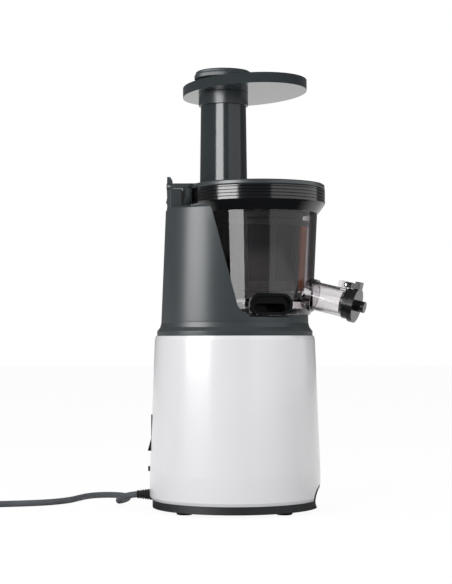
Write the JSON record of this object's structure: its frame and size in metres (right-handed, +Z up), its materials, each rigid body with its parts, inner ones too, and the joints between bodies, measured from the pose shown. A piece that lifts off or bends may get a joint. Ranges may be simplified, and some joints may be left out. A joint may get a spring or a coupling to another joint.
{
  "type": "cold press juicer",
  "caption": "Upright slow juicer with a round motor base, a tower behind a clear bowl with auger and strainer, a lidded feed chute with pusher and oval tray, and side spouts.",
  "frame": {"origin": "on the table at the undersides of the feet, under the axis of the bowl and auger, which is within 3 mm of the middle of the outline seen from above", "axes": "+Z up along the auger axis, +X to the front where the juice spout is, +Y to the left seen from the front of the machine looking back"},
  "size_m": [0.4698, 0.1949, 0.4375],
  "materials": {
    "white_shell": "white ABS moulding, satin gloss",
    "dark_housing": "slate grey ABS moulding, satin",
    "dark_lid": "slate grey ABS moulding, semi gloss",
    "dark_pan": "dark grey moulding",
    "rubber_black": "moulded rubber",
    "stopper_rubber": "dark grey silicone rubber",
    "clear_bowl": "clear, lightly smoked copolyester",
    "smoked_ring": "smoked glossy copolyester",
    "black_plastic": "black moulding",
    "orange_silicone": "orange silicone wiper",
    "steel": "ground steel",
    "laminated_steel": "stacked laminations",
    "copper": "enamelled copper wire",
    "zinc_alloy": "pressed bracket",
    "nylon_gear": "moulded acetal",
    "board_green": "circuit board",
    "silicone_grey": "silicone seal",
    "cord_grey": "PVC cord jacket"
  },
  "bodies": {
    "root": {"base_shell": "white_shell", "base_pan": "dark_pan", "feet": "rubber_black", "pan_screws": "steel", "upper_housing": "dark_housing", "chassis_plate": "zinc_alloy", "motor_mounts": "rubber_black", "motor_stator": "laminated_steel", "motor_windings": "copper", "motor_upper_bracket": "zinc_alloy", "motor_lower_bracket": "zinc_alloy", "motor_bearings": "steel", "gearbox_housing": "dark_pan", "gearbox_cover": "dark_pan", "idler_pin": "steel", "output_bearing": "steel", "shaft_seal": "rubber_black", "circuit_board": "board_green", "switch_body": "black_plastic", "breaker_body": "black_plastic", "strain_relief": "cord_grey", "power_cord": "cord_grey", "cord_coil": "cord_grey", "plug": "black_plastic"},
    "motor_drive": {"motor_rotor": "laminated_steel", "motor_shaft": "steel", "motor_pinion": "nylon_gear", "cooling_fan": "black_plastic"},
    "idler": {"idler_gear": "nylon_gear"},
    "output": {"output_gear": "nylon_gear", "drive_shaft": "steel"},
    "rocker": {"switch_rocker": "black_plastic"},
    "reset": {"reset_button": "black_plastic"},
    "bowl": {"bowl": "clear_bowl", "bowl_ring": "smoked_ring", "juice_spout": "clear_bowl", "stopper_pin": "steel", "pulp_spout": "black_plastic", "bowl_seal": "silicone_grey", "strainer_frame": "black_plastic", "strainer_mesh": "steel"},
    "planet": {"wiper_pinion": "nylon_gear"},
    "wiper": {"wiper_frame": "black_plastic", "wiper_blades": "orange_silicone"},
    "auger": {"auger": "black_plastic", "auger_flights": "black_plastic", "auger_pin": "steel"},
    "stopper": {"juice_stopper": "stopper_rubber"},
    "lid": {"lid": "dark_lid", "feed_chute": "dark_lid", "lid_gasket": "silicone_grey", "auger_bush": "nylon_gear", "latch_pin": "steel"},
    "latch": {"latch_lever": "dark_lid"},
    "tray": {"tray": "dark_lid", "tray_hub": "dark_lid"},
    "pusher": {"pusher": "dark_lid", "pusher_cap": "dark_lid"}
  },
  "joints": [
    {"name": "rotor_spin", "type": "hinge", "parent": "root", "child": "motor_drive", "pos_m": [-0.0235, 0, 0], "axis": [0, 0, 1], "continuous": true},
    {"name": "idler_spin", "type": "hinge", "parent": "root", "child": "idler", "pos_m": [-0.01175, 0.03403, 0], "axis": [0, 0, 1], "continuous": true},
    {"name": "output_spin", "type": "hinge", "parent": "root", "child": "output", "pos_m": [0, 0, 0], "axis": [0, 0, 1], "continuous": true},
    {"name": "rocker_tilt", "type": "hinge", "parent": "root", "child": "rocker", "pos_m": [-0.10104, 0, 0.0747], "axis": [0, -1, 0], "range_deg": [0, 18]},
    {"name": "reset_press", "type": "slide", "parent": "root", "child": "reset", "axis": [1, 0, 0], "range_m": [0, 0.002], "stiffness_N_per_m": 300},
    {"name": "bowl_lift", "type": "slide", "parent": "root", "child": "bowl", "axis": [0, 0, 1], "range_m": [0, 0.12]},
    {"name": "auger_spin", "type": "hinge", "parent": "bowl", "child": "auger", "pos_m": [0, 0, 0], "axis": [0, 0, 1], "continuous": true},
    {"name": "planet_spin", "type": "hinge", "parent": "bowl", "child": "planet", "pos_m": [-0.00481, 0.02474, 0], "axis": [0, 0, 1], "continuous": true},
    {"name": "wiper_spin", "type": "hinge", "parent": "bowl", "child": "wiper", "pos_m": [0, 0, 0], "axis": [0, 0, 1], "continuous": true},
    {"name": "stopper_swing", "type": "hinge", "parent": "bowl", "child": "stopper", "pos_m": [0.0879, -0.03199, 0.22215], "axis": [-0.342, -0.9397, 0], "range_deg": [0, 100]},
    {"name": "lid_lift", "type": "slide", "parent": "bowl", "child": "lid", "axis": [0, 0, 1], "range_m": [0, 0.09]},
    {"name": "latch_tilt", "type": "hinge", "parent": "lid", "child": "latch", "pos_m": [-0.0886, 0, 0.321], "axis": [0, 1, 0], "range_deg": [0, 14], "stiffness_Nm_per_rad": 0.2, "springref_deg": -5.73},
    {"name": "tray_lift", "type": "slide", "parent": "lid", "child": "tray", "axis": [0, 0, 1], "range_m": [0, 0.05]},
    {"name": "pusher_slide", "type": "slide", "parent": "tray", "child": "pusher", "axis": [0, 0, 1], "range_m": [0, 0.11]}
  ],
  "couplings": [
    {"joint": "idler_spin", "follows": "rotor_spin", "ratio": -0.25},
    {"joint": "output_spin", "follows": "rotor_spin", "ratio": 0.0625},
    {"joint": "auger_spin", "follows": "rotor_spin", "ratio": 0.0625},
    {"joint": "planet_spin", "follows": "rotor_spin", "ratio": -0.056818},
    {"joint": "wiper_spin", "follows": "rotor_spin", "ratio": -0.019531}
  ]
}
